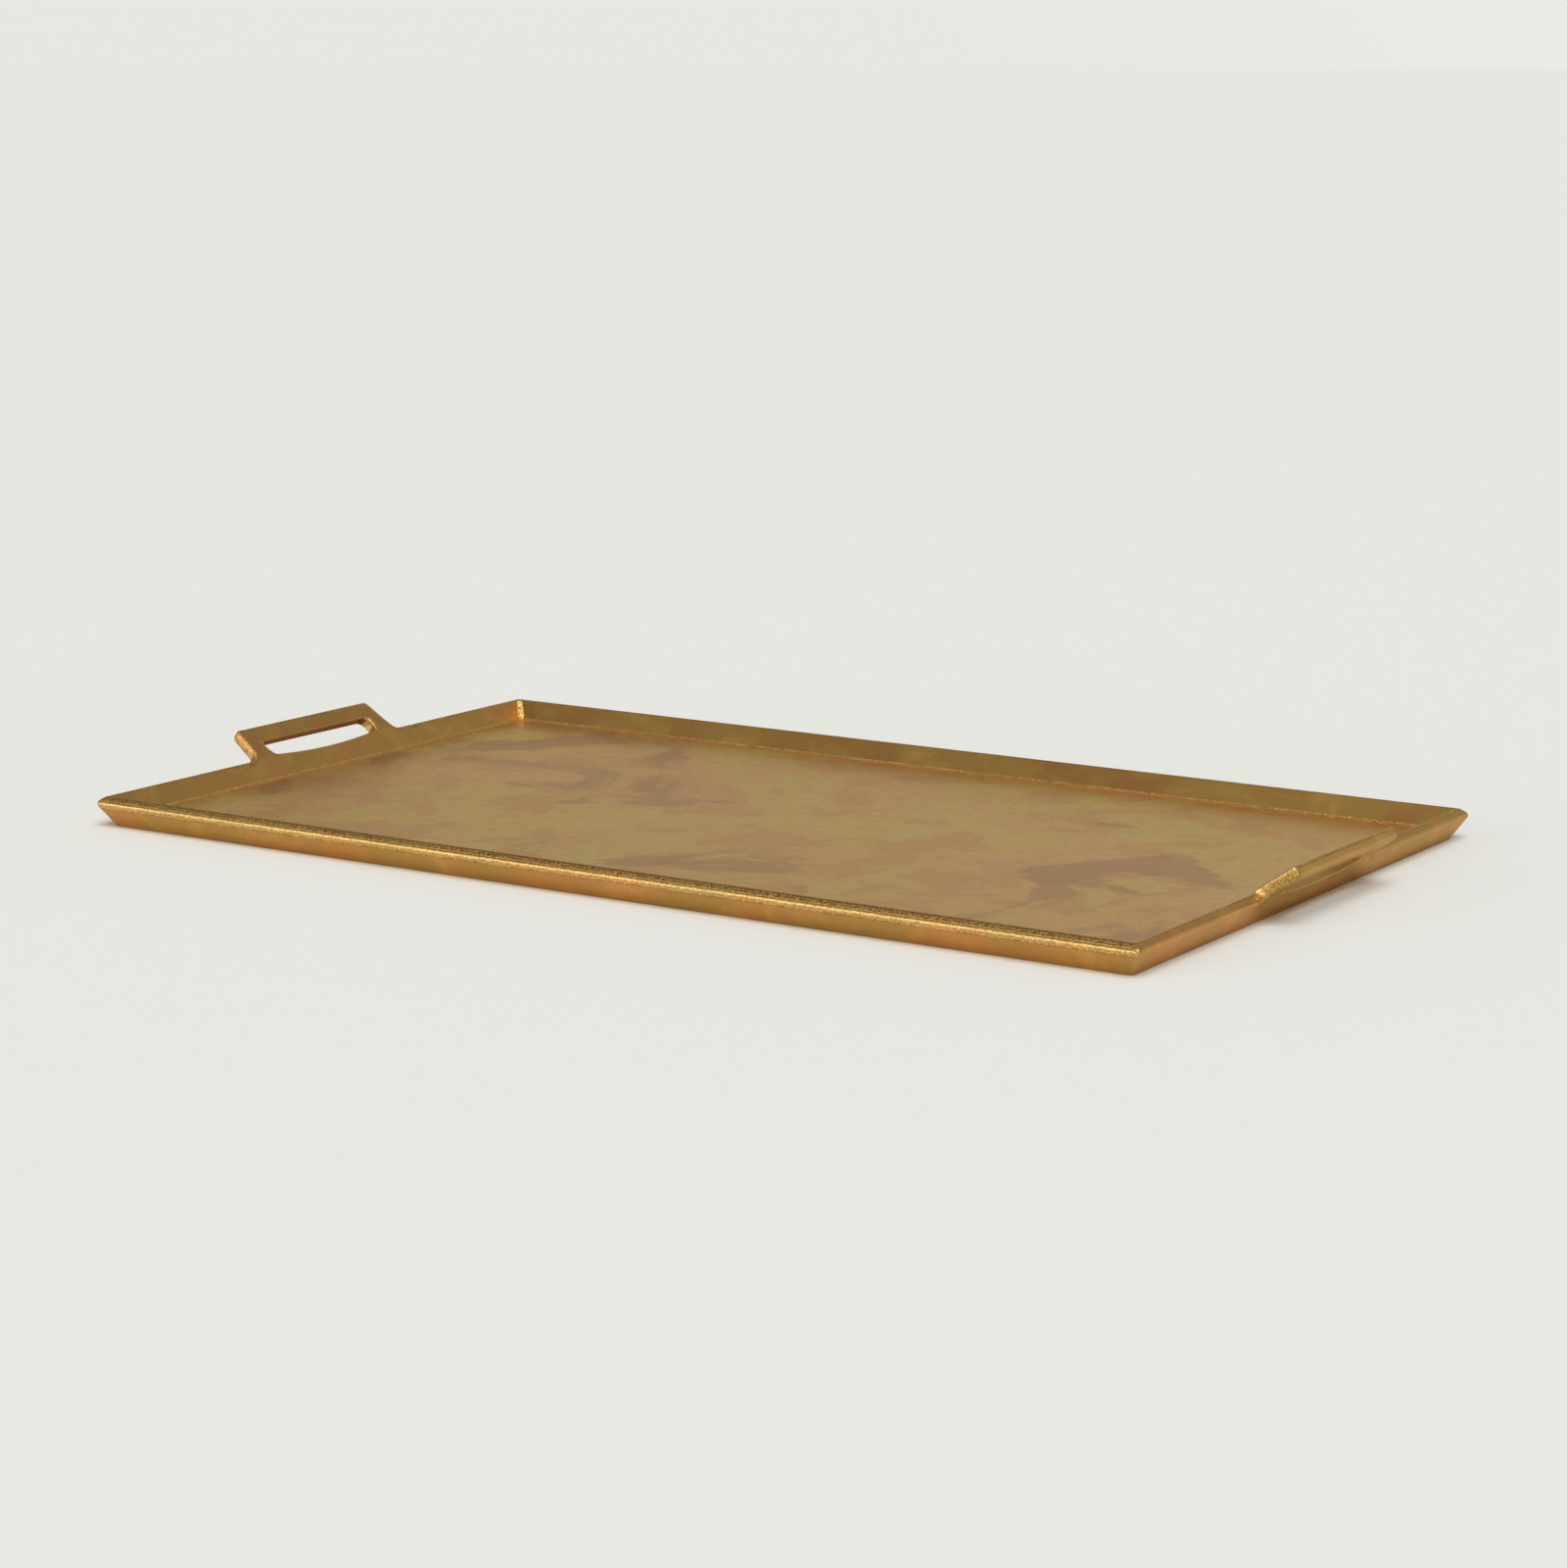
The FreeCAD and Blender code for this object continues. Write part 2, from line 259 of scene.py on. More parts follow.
def rail_run(edge_wear, tip_wear_and_highlight):
    """The section's smooth run, from the wall's inner foot over the rim to the outer foot's rounding."""
    foot_above = -(RIM_TOP[1] - FLANGE) / SLOPE[1]
    inner = [foot_above, *spread(foot_above, PATCH_FOOT, 2), *spread(PATCH_FOOT, -TOP_ROUND, FACE_STEPS)]
    run = [(on_wall(above, 0), -OUT, 0.0, 0.0) for above in inner]
    top = arc(on_wall(-TOP_ROUND, TOP_ROUND), TOP_ROUND, -OUT, SLOPE, TOP_STEPS)
    run += [(point, normal, rim_round(TOP_ROUND), TOP_WEAR_AND_HIGHLIGHT) for point, normal in top[1:]]
    for depth in spread(TOP_ROUND, WALL - TIP_ROUND, FACE_STEPS):
        run.append((on_wall(0, depth), SLOPE, rim_round(depth), edge_wear))
    tip = arc(on_wall(-TIP_ROUND, WALL - TIP_ROUND), TIP_ROUND, SLOPE, OUT, TIP_STEPS)
    run += [(point, normal, CORNER_ROUND, tip_wear_and_highlight) for point, normal in tip[1:]]
    setback = FOOT_ROUND / math.tan((math.pi - WALL_ANGLE) / 2)
    outer = [*spread(-TIP_ROUND, PATCH_FOOT, TIP_TO_FOOT),
             *spread(PATCH_FOOT, setback - WALL_SLANT, FACE_STEPS)]
    for above in outer:
        run.append((on_wall(above, WALL), OUT, CORNER_ROUND, 0.0))
    foot = arc(setback * SLOPE - FOOT_ROUND * OUT, FOOT_ROUND, OUT, DOWN, FOOT_STEPS)
    run += [(point, normal, CORNER_ROUND, 0.0) for point, normal in foot[1:]]
    return run


def rail_strands(edge_wear, tip_wear_and_highlight):
    """The section as strands of (point, normal, plan radius, wear and painted light): the run, underside,
    edge and top.
    """
    run = rail_run(edge_wear, tip_wear_and_highlight)
    back = np.array([-1.0, 0.0])
    inner_foot = np.array([-FLANGE_REACH, 0.0])
    inner_top = np.array([-FLANGE_REACH, FLANGE])
    underside = [(run[-1][0], DOWN, CORNER_ROUND, 0.0), (inner_foot, DOWN, 0.0, 0.0)]
    edge = [(inner_foot, back, 0.0, 0.0), (inner_top, back, 0.0, 0.0)]
    top = [(inner_top, -DOWN, 0.0, 0.0), (run[0][0], -DOWN, 0.0, 0.0)]
    return [run, underside, edge, top]


def place(section_point, normal, radius, wear_and_painted_light, station, half_length, half_span):
    """A corner of a rail that lies along X at its -Y side, from a point of its section.

    A station is a distance along X, or (end, angle) round the mitred corner at the end +1 or -1."""
    out, up = section_point
    if not isinstance(station, tuple):
        return (station, -(half_span + out), up), (0, -normal[0], normal[1]), wear_and_painted_light
    end, angle = station
    if radius == 0:
        angle = 0
    side, front = math.sin(angle), math.cos(angle)
    x = end * (half_length + out - radius + radius * side)
    y = -(half_span + out - radius + radius * front)
    return (x, y, up), (end * normal[0] * side, -normal[0] * front, normal[1]), wear_and_painted_light


def end_stations(end):
    """Round one mitred corner, from the straight to the mitre."""
    return [(end, MITRE * k / MITRE_STEPS) for k in range(MITRE_STEPS + 1)]


def sweep(builder, strands, stations, half_length, half_span):
    for strand in strands:
        builder.grid([[place(*entry, station, half_length, half_span) for entry in strand]
                      for station in stations])


def close_end(builder, strands, end, half_length, half_span):
    """The flat mitre face at one end."""
    ring = []
    for strand in strands:
        for entry in strand[:-1]:
            point = place(*entry, (end, MITRE), half_length, half_span)[0]
            ring.append((point, None, 0.0))
    builder.face(ring if end > 0 else ring[::-1])


def straight_stations(start, end, spacing):
    count = max(int(round((end - start) / spacing)), 1)
    return list(np.linspace(start, end, count + 1))


def straight_reach(half_length):
    """How far the evenly cut part of a rail goes, short of its corners."""
    return half_length - FLANGE_REACH - CORNER_CLEAR


def long_rail(name, turn):
    builder = Builder()
    strands = rail_strands(EDGE_WEAR, TIP_WEAR_AND_HIGHLIGHT)
    reach = straight_reach(HALF_LENGTH)
    stations = end_stations(-1)[::-1] + straight_stations(-reach, reach, RAIL_STEP) + end_stations(1)
    sweep(builder, strands, stations, HALF_LENGTH, HALF_WIDTH)
    for end in (-1, 1):
        close_end(builder, strands, end, HALF_LENGTH, HALF_WIDTH)
    return builder.make(name, turn, cast_waver)


def on_sheet(above):
    """Point, direction up the sheet and direction into it, at a distance up the sheet from the rim."""
    if above <= BEND_START:
        return RIM_TOP + above * SLOPE, SLOPE, OUT
    centre = RIM_TOP + BEND_START * SLOPE + BEND_RADIUS * OUT
    lean = WALL_ANGLE - min((above - BEND_START) / BEND_RADIUS, BEND_TURN)
    run = np.array([math.cos(lean), math.sin(lean)])
    into = np.array([run[1], -run[0]])
    beyond = max(above - BEND_END, 0)
    return centre - BEND_RADIUS * into + beyond * run, run, into


def sheet_point(along, above, depth, normal, half_span, wear_and_painted_light=0.0):
    """A corner in the rail's frame, from a place and a normal (along, up, into) in the sheet."""
    point, run, into = on_sheet(above)
    stretch = 1 - depth / BEND_RADIUS if BEND_START < above < BEND_END else 1
    out, up = point + depth * into
    normal_out, normal_up = normal[1] / stretch * run + normal[2] * into
    return (along, -(half_span + out), up), (normal[0], -normal_out, normal_up), wear_and_painted_light


def flared(above, depth):
    """The slot is cut straight through the curled sheet, so its edge shifts up the sheet with depth."""
    run = on_sheet(above)[1]
    lean = math.atan2(run[1], run[0])
    return above + depth * math.tan((WALL_ANGLE + HANDLE_ANGLE) / 2 - lean)


def corner_arc(before, here, after, radius):
    """The arc that rounds a path's corner, as (point, normal to the path's left)."""
    back = (before - here) / np.linalg.norm(before - here)
    ahead = (after - here) / np.linalg.norm(after - here)
    half = math.acos(np.clip(back @ ahead, -1, 1)) / 2
    centre = here + (back + ahead) / np.linalg.norm(back + ahead) * radius / math.sin(half)
    start = (here + back * radius / math.tan(half) - centre) / radius
    end = (here + ahead * radius / math.tan(half) - centre) / radius
    steps = max(math.ceil((math.pi - 2 * half) / ARC_STEP), 2)
    if radius == SLOT_BOW_ROUND:
        steps = BOW_STEPS
    leftwards = -1 if back[0] * ahead[1] - back[1] * ahead[0] < 0 else 1
    return [(point, leftwards * normal) for point, normal in arc(centre, radius, start, end, steps)]


def filled_in(path, closed):
    """A path with points added along its straight parts."""
    filled = []
    ahead = path[1:] + (path[:1] if closed else [])
    for (point, normal), (next_point, next_normal) in zip(path, ahead):
        along = next_point - point
        length = np.linalg.norm(along)
        left = np.array([-along[1], along[0]]) / max(length, LEAST)
        filled.append((point, left if normal is None else normal))
        straight = normal is None or next_normal is None or normal @ next_normal > 1 - TINY
        if straight and length > OUTLINE_STEP:
            steps = math.ceil(length / OUTLINE_STEP)
            filled += [(point + along * k / steps, left) for k in range(1, steps)]
    if not closed:
        filled.append((path[-1][0], left))
    return filled


def rounded_path(corners, closed):
    """(point, normal to its left) along a path with rounded corners, given as (along, above, radius)."""
    path = []
    for index, (along, above, radius) in enumerate(corners):
        here = np.array([along, above], float)
        if not closed and index in (0, len(corners) - 1):
            path.append((here, None))
            continue
        before = np.array(corners[index - 1][:2], float)
        after = np.array(corners[(index + 1) % len(corners)][:2], float)
        path += corner_arc(before, here, after, radius)
    return filled_in(path, closed)


def handle_outline():
    """The rim's line, the handle's neck, side and grip edge, left to right, with normals outwards."""
    grip = BEND_END + BEND_CORNER_TO_EDGE - BEND_RADIUS * math.tan(BEND_TURN / 2)
    half = [(PATCH_HALF, 0, 0), (HANDLE_FOOT_HALF, 0, NECK_ROUND), (HANDLE_TOP_HALF, grip, GRIP_CORNER)]
    corners = [(-along, above, radius) for along, above, radius in half] + half[::-1]
    return rounded_path(corners, closed=False)


def slot_outline():
    """The finger slot's edge, with normals into the slot."""
    corners = [(-SLOT_FOOT_HALF, SLOT_FOOT, SLOT_FOOT_ROUND), (0, SLOT_FOOT - SLOT_BOW, SLOT_BOW_ROUND),
               (SLOT_FOOT_HALF, SLOT_FOOT, SLOT_FOOT_ROUND), (SLOT_TOP_HALF, SLOT_TOP, SLOT_TOP_ROUND),
               (-SLOT_TOP_HALF, SLOT_TOP, SLOT_TOP_ROUND)]
    return rounded_path(corners, closed=True)


def edge_profile(rounds, steps, wear_and_light_levels):
    """Across a rounded edge, from the near face to the far one: (inset, depth, (outwards, into), wear and
    painted light).

    Rounds and steps are for the near and far rounding; the wear and painted light levels are for the
    near, flat and far part."""
    places = []
    for k in range(steps[0] + 1):
        angle = math.pi / 2 * k / steps[0]
        out, into = math.sin(angle), math.cos(angle)
        places.append((rounds[0] * (1 - out), rounds[0] * (1 - into), (out, -into), wear_and_light_levels[0]))
    far_start = WALL - rounds[1]
    for depth in spread(rounds[0], far_start, FACE_STEPS):
        places.append((0, depth, (1, 0), wear_and_light_levels[1]))
    for k in range(1, steps[1] + 1):
        angle = math.pi / 2 * k / steps[1]
        out, into = math.cos(angle), math.sin(angle)
        places.append((rounds[1] * (1 - out), far_start + rounds[1] * into, (out, into), wear_and_light_levels[2]))
    return places


def edge_rows(outline, half_span, is_slot):
    """The rounded edge round an outline, as rows of corners from the near face to the far face."""
    rounds = (SLOT_EDGE, SLOT_EDGE) if is_slot else (TOP_ROUND, TIP_ROUND)
    steps = (TOP_STEPS, TOP_STEPS) if is_slot else (TOP_STEPS, TIP_STEPS)
    end_wear_and_highlight = SLOT_WEAR_AND_HIGHLIGHT if is_slot else SIDE_WEAR_AND_HIGHLIGHT
    rows = []
    for point, normal in outline:
        side_wear_and_highlight = END_WEAR_AND_HIGHLIGHT + (end_wear_and_highlight - END_WEAR_AND_HIGHLIGHT) * min(abs(normal[0]) * SIDE_FADE, 1)
        near_wear_and_highlight = side_wear_and_highlight if is_slot else TOP_WEAR_AND_HIGHLIGHT
        # The slot's top edge, facing down, gets painted shade on its flat face
        flat_wear_and_painted_light = SLOT_SHADE if is_slot and normal[1] < SLOT_ROOF else side_wear_and_highlight
        row = []
        for inset, depth, lie, wear_and_painted_light in edge_profile(rounds, steps, (near_wear_and_highlight, flat_wear_and_painted_light, side_wear_and_highlight)):
            along, above = point - normal * inset
            if is_slot:
                above = flared(above, depth)
            facing = (normal[0] * lie[0], normal[1] * lie[0], lie[1])
            row.append(sheet_point(along, above, depth, facing, half_span, wear_and_painted_light))
        rows.append(row)
    return rows


def sheet_rings(depth, rim_inset, stations, sides):
    """The outline of the sheet's face at a depth, and of the slot in it."""
    outer = [tuple(p - n * rim_inset) for p, n in handle_outline()]
    right_side = [(PATCH_HALF, above) for above in sides[1:-1]]
    left_side = [(-PATCH_HALF, above) for above in sides[1:-1][::-1]]
    ring = [(x, PATCH_FOOT) for x in stations] + right_side + outer[::-1] + left_side
    hole = [(p[0] - n[0] * SLOT_EDGE, flared(p[1] - n[1] * SLOT_EDGE, depth)) for p, n in slot_outline()]
    return ring, hole


def scattered(inside, top):
    """Points inside the sheet's face, in rows across it that lie closest together in the bend."""
    rows = [*spread(PATCH_FOOT, BEND_START, BELOW_ROWS), *spread(BEND_START, BEND_END, BEND_ROWS),
            *spread(BEND_END, top, GRIP_ROWS)[:-1]]
    points = []
    for index, above in enumerate(rows):
        first = SCATTER_START + index % 2 - PATCH_HALF
        for along in np.arange(first, PATCH_HALF - 1, SCATTER_STEP):
            if inside.holds((along, above), SCATTER_MARGIN):
                points.append((along, above))
    return points


def fill_sheet(builder, depth, rim_inset, stations, sides, half_span):
    """The flat and bent face of the sheet at a depth, inside its outline and round the finger slot."""
    ring, hole = sheet_rings(depth, rim_inset, stations, sides)
    inside = Region(ring, hole)
    points = ring + hole + scattered(inside, max(above for _, above in ring))
    first = len(ring)
    edges = [(k, (k + 1) % first) for k in range(first)]
    edges += [(first + k, first + (k + 1) % len(hole)) for k in range(len(hole))]
    flat = [Vector(p) for p in points]
    found, _, triangles, *_ = geometry.delaunay_2d_cdt(flat, edges, [], 0, CDT_REACH)
    side = -1 if depth == 0 else 1
    for triangle in triangles:
        middle = sum((found[k] for k in triangle), Vector((0, 0))) / 3
        if inside.holds(middle, 0):
            corners = [sheet_point(*found[k], depth, (0, 0, side), half_span) for k in triangle]
            builder.face(corners[::side])


class Region:
    """The inside of a ring, less a hole."""

    def __init__(self, ring, hole):
        self.ring = np.array(ring)
        self.hole = np.array(hole)

    @staticmethod
    def within(loop, point):
        """Whether a line from the point to one side crosses the loop an odd number of times."""
        x, y = point
        a = loop
        b = np.roll(loop, -1, axis=0)
        crosses = (a[:, 1] > y) != (b[:, 1] > y)
        with np.errstate(divide="ignore", invalid="ignore"):
            where = a[:, 0] + (y - a[:, 1]) * (b[:, 0] - a[:, 0]) / (b[:, 1] - a[:, 1])
        return np.count_nonzero(crosses & (x < where)) % 2 == 1

    @staticmethod
    def distance(loop, point):
        """From a point to the nearest place on a loop."""
        a = loop
        b = np.roll(loop, -1, axis=0)
        along = b - a
        share = ((np.array(point) - a) * along).sum(1) / np.maximum((along ** 2).sum(1), LEAST)
        nearest = a + along * np.clip(share, 0, 1)[:, None]
        return np.linalg.norm(nearest - np.array(point), axis=1).min()

    def holds(self, point, margin):
        """Whether a point is inside, and further than a margin from every edge."""
        point = (point[0], point[1])
        if not self.within(self.ring, point) or self.within(self.hole, point):
            return False
        if margin == 0:
            return True
        return min(self.distance(self.ring, point), self.distance(self.hole, point)) > margin


def add_handle(builder, strands, half_length, half_span):
    """The middle of an end rail: its plain lower part, and above that the sheet with its handle."""
    middle = straight_stations(-PATCH_HALF, PATCH_HALF, PATCH_STEP)
    run = strands[0]
    above = [float((entry[0] - RIM_TOP) @ SLOPE) for entry in run]
    near_foot, far_foot = [k for k, value in enumerate(above) if abs(value - PATCH_FOOT) < TINY]
    below = [run[:near_foot + 1], run[far_foot:]] + strands[1:]
    sweep(builder, below, middle, half_length, half_span)
    builder.grid(edge_rows(handle_outline(), half_span, False))
    slot_rows = edge_rows(slot_outline(), half_span, True)
    builder.grid(slot_rows + slot_rows[:1])
    near_sides = above[near_foot:near_foot + FACE_STEPS + 1]
    far_sides = above[far_foot - TIP_TO_FOOT:far_foot + 1][::-1]
    fill_sheet(builder, 0, TOP_ROUND, middle, near_sides, half_span)
    fill_sheet(builder, WALL, TIP_ROUND, middle, far_sides, half_span)


def end_rail(name, turn):
    """A rail cast in one with its handle, along X before it is turned."""
    builder = Builder()
    strands = rail_strands(END_WEAR_AND_HIGHLIGHT, END_WEAR_AND_HIGHLIGHT)
    reach = straight_reach(HALF_WIDTH)
    left = end_stations(-1)[::-1] + straight_stations(-reach, -PATCH_HALF, RAIL_STEP)
    right = straight_stations(PATCH_HALF, reach, RAIL_STEP) + end_stations(1)
    for stations in (left, right):
        sweep(builder, strands, stations, HALF_WIDTH, HALF_LENGTH)
    add_handle(builder, strands, HALF_WIDTH, HALF_LENGTH)
    for end in (-1, 1):
        close_end(builder, strands, end, HALF_WIDTH, HALF_LENGTH)
    return builder.make(name, turn, cast_waver)


def slab(name):
    """The sheet floor: flat, and cut into squares."""
    builder = Builder()
    half_x, half_y = HALF_LENGTH + PLATE_EDGE, HALF_WIDTH + PLATE_EDGE
    xs = straight_stations(-half_x, half_x, FLOOR_STEP)
    ys = straight_stations(-half_y, half_y, FLOOR_STEP)
    levels = (FLOOR_UP, FLANGE)
    for up, facing in zip(levels, (1, -1)):
        builder.grid([[((x, y, up), (0, 0, facing), 0.0) for x in xs[::facing]] for y in ys])
    for side in (-1, 1):
        builder.grid([[((x, side * half_y, up), (0, side, 0), 0.0) for x in xs[::side]] for up in levels])
        builder.grid([[((side * half_x, y, up), (side, 0, 0), 0.0) for y in ys[::-side]]
                      for up in levels])
    return builder.make(name)


def grainy(point, size, height):
    """A small push, always the same at the same place, for filler that was run in by hand."""
    spot = Vector(point)
    return height * (noise.noise(spot / size) + FINER_SHARE * noise.noise(spot / size * FINER))


def seam_bead(name, half_length, half_span, turn):
    """Filler along one side of the floor: a low hollow bead, slightly uneven along its run."""
    on_floor = np.array([PLATE_EDGE - BEAD_RUN, FLOOR_UP])
    on_rail = np.array([wall_face(FLOOR_UP + BEAD_RISE), FLOOR_UP + BEAD_RISE])
    across = on_rail - on_floor
    facing = np.array([-across[1], across[0]]) / np.linalg.norm(across)
    normal = (0, -facing[0], facing[1])
    foot = [on_rail, (wall_face(FLANGE), FLANGE), (PLATE_EDGE, FLANGE), (PLATE_EDGE, FLOOR_UP), on_floor]

    def corner(share, point, point_normal, wear_and_painted_light=0.0):
        """The bead's ends are mitred, so each strand has its own length."""
        return (share * (half_length + point[0]), -(half_span + point[0]), point[1]), point_normal, wear_and_painted_light

    tops, feet = [], []
    for along in straight_stations(-1, 1, BEAD_STEP / half_length):
        top = []
        for share in np.linspace(0, 1, BEAD_STEPS + 1):
            spot = (along * half_length, share * 2 + turn * APART, 0)
            lift = 4 * share * (1 - share) * (grainy(spot, BEAD_GRAIN, BEAD_LIFT) - BEAD_HOLLOW)
            point = on_floor + share * across + facing * lift
            # The bead lightens towards the wall: a painted highlight
            top.append(corner(along, point, normal, BEAD_HIGHLIGHT * share))
        tops.append(top)
        feet.append([corner(along, point, None) for point in foot])
    builder = Builder()
    builder.grid(tops)
    builder.grid(feet)
    builder.face((tops[0] + feet[0][1:-1])[::-1])
    builder.face(tops[-1] + feet[-1][1:-1])
    return builder.make(name, turn)


def fillet_rows(side, across):
    """The corner filler's face and its back, as rows from the floor up, from the inside corner's foot."""
    rise = Vector((1, 1, SLOPE[1] / SLOPE[0])).normalized()
    foot = Vector((wall_face(0), wall_face(0), 0))
    first_normal = Vector((-OUT[0], 0, -OUT[1]))
    second_normal = Vector((0, -OUT[0], -OUT[1]))
    half_turn = first_normal.angle(second_normal) / 2
    centre = foot + (first_normal + second_normal).normalized() * FILLER_RADIUS / math.cos(half_turn)
    tangent = math.tan(half_turn) * FILLER_RADIUS
    first_arm = foot + rise.cross(first_normal) * tangent - centre
    last_arm = foot - rise.cross(second_normal) * tangent - centre
    top = RIM_TOP[1] - TOP_ROUND * SLOPE[1] - FILLER_DROP
    shift = Vector((side, across, 0)) * FILLER_APART
    rows, backs = [], []
    for up in straight_stations(FLOOR_UP, top, FILLER_STEP):
        row = []
        for share in np.linspace(0, 1, FILLER_STEPS + 1):
            facing = -first_arm.lerp(last_arm, share).normalized()
            point = centre - facing * FILLER_RADIUS
            point += rise * (up - point.z) / rise.z
            point += facing * 4 * share * (1 - share) * grainy(point + shift, FILLER_GRAIN, FILLER_LIFT)
            # The corner filler carries the painted highlight all over
            row.append((point, facing, FILLER_HIGHLIGHT))
        rows.append(row)
        backs.append([row[-1], (foot + rise * (up / rise.z), None, 0.0), row[0]])
    return rows, backs


def corner_fillet(name, side, across):
    """Filler up one inside corner: a grainy hollow strip between the two walls."""
    mirror = Vector((side, across, 1))
    half = Vector((HALF_LENGTH, HALF_WIDTH, 0))

    def moved(line, flat):
        line = [((p + half) * mirror, None if flat else n * mirror, wear_and_painted_light) for p, n, wear_and_painted_light in line]
        return line[::-1] if side * across > 0 else line

    rows, backs = fillet_rows(side, across)
    rows = [moved(row, False) for row in rows]
    backs = [moved(back, True) for back in backs]
    builder = Builder()
    builder.grid(rows)
    builder.grid(backs)
    for end, order in ((0, -1), (-1, 1)):
        ring = [(p, None, wear_and_painted_light) for p, _, wear_and_painted_light in rows[end] + backs[end][1:-1]]
        builder.face(ring[::order])
    return builder.make(name)


# Materials. The colours are brass and patina colours; the rubbed-bright edge and filler colours also
# paint a highlight, and the dark red on the slot's top edge paints shade. Patterns are placed in metres.
DARK_PATINA = (0.140, 0.072, 0.022, 1)
# Painted shade for the slot's downward-facing top edge
SLOT_PAINTED_SHADE_RED = (0.300, 0.115, 0.038, 1)
CAST_OLIVE = (0.530, 0.315, 0.092, 1)
CAST_BROWN = (0.610, 0.305, 0.098, 1)
CAST_GOLD = (0.730, 0.430, 0.122, 1)
# Rubbed-bright brass, used as real edge wear and as a painted highlight
RUBBED_BRASS_AND_HIGHLIGHT = (0.980, 0.680, 0.270, 1)
SHEET_OLIVE = (0.730, 0.510, 0.180, 1)
SHEET_TAN = (0.760, 0.460, 0.178, 1)
SHEET_ROSE = (0.700, 0.385, 0.160, 1)
SHEET_MAUVE = (0.500, 0.275, 0.140, 1)
# Painted highlight colour for the filler
FILLER_HIGHLIGHT_BRASS = (0.980, 0.700, 0.260, 1)
FILLER_DARK = (0.420, 0.230, 0.070, 1)
PAPER = (0.90, 0.90, 0.885, 1)
PAPER_GRAIN = (0.87, 0.87, 0.855, 1)

# Tint of a metal's reflection at a glancing angle
CAST_EDGE = (0.97, 0.84, 0.70, 1)
SHEET_EDGE = (1.0, 0.97, 0.86, 1)


class Nodes:
    """Short calls for building a material's node tree."""

    def __init__(self, name):
        self.material = bpy.data.materials.new(name)
        self.material.use_nodes = True
        self.tree = self.material.node_tree
        self.shader = self.tree.nodes["Principled BSDF"]
        place_node = self.tree.nodes.new("ShaderNodeTexCoord")
        self.here = place_node.outputs["Object"]

    def link(self, source, socket):
        self.tree.links.new(source, socket)

    def feed(self, node, key, value):
        if value is None:
            return
        if isinstance(value, bpy.types.NodeSocket):
            self.link(value, node.inputs[key])
        else:
            node.inputs[key].default_value = value

    def grain(self, scale, detail=2.0, rough=0.5, where=None, warp=0.0):
        node = self.tree.nodes.new("ShaderNodeTexNoise")
        self.link(where or self.here, node.inputs["Vector"])
        for key, value in (("Scale", scale), ("Detail", detail),
                           ("Roughness", rough), ("Distortion", warp)):
            node.inputs[key].default_value = value
        return node.outputs["Fac"]

    def range(self, value, low, high, to_low=0.0, to_high=1.0):
        node = self.tree.nodes.new("ShaderNodeMapRange")
        node.interpolation_type = "SMOOTHSTEP"
        self.link(value, node.inputs["Value"])
        for key, number in (("From Min", low), ("From Max", high),
                            ("To Min", to_low), ("To Max", to_high)):
            node.inputs[key].default_value = number
        return node.outputs["Result"]

    def math(self, kind, a, b):
        node = self.tree.nodes.new("ShaderNodeMath")
        node.operation = kind
        self.feed(node, 0, a)
        self.feed(node, 1, b)
        return node.outputs["Value"]

    def mix(self, share, a, b, blend="MIX"):
        node = self.tree.nodes.new("ShaderNodeMix")
        node.data_type = "RGBA"
        node.blend_type = blend
        self.feed(node, 0, share)
        self.feed(node, 6, a)
        self.feed(node, 7, b)
        return node.outputs[2]

    def attribute(self, name):
        node = self.tree.nodes.new("ShaderNodeAttribute")
        node.attribute_name = name
        return node.outputs["Fac"]

    def bump(self, height, distance, strength=1.0, under=None):
        node = self.tree.nodes.new("ShaderNodeBump")
        node.inputs["Distance"].default_value = distance
        node.inputs["Strength"].default_value = strength
        self.link(height, node.inputs["Height"])
        if under:
            self.link(under, node.inputs["Normal"])
        return node.outputs["Normal"]

    def finish(self, colour, roughness, normal, edge_tint):
        self.shader.inputs["Metallic"].default_value = 1.0
        self.shader.inputs["Specular Tint"].default_value = edge_tint
        self.link(colour, self.shader.inputs["Base Color"])
        self.link(roughness, self.shader.inputs["Roughness"])
        self.link(normal, self.shader.inputs["Normal"])
        return self.material


